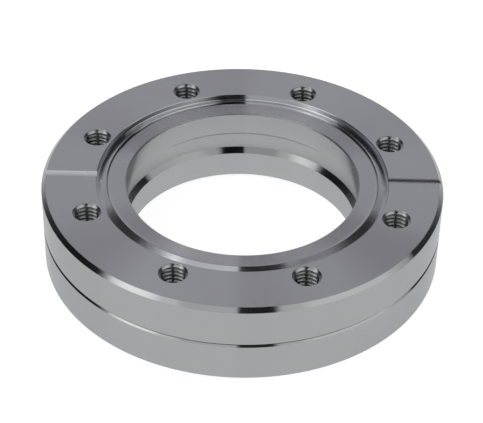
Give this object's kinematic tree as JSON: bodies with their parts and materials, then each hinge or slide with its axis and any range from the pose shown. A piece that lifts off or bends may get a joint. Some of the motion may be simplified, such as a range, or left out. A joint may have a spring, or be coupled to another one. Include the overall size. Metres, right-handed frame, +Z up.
{
  "type": "vacuum flange",
  "caption": "Round double-sided vacuum flange with a knife-edge sealing recess on each face, a ring of tapped holes, a wide bore with an inner groove and a grooved rim.",
  "frame": {"origin": "centre of the lower face, on the bore's axis", "axes": "+Z up along the bore's axis; the leak-check grooves run along +X and -X, so the bolt holes lie at 22.5 degrees and every 45 degrees from there"},
  "size_m": [0.1134, 0.1134, 0.025],
  "materials": {
    "stainless_steel": "fine turned stainless steel, semi-bright"
  },
  "bodies": {
    "root": {"flange_body": "stainless_steel"}
  },
  "joints": []
}
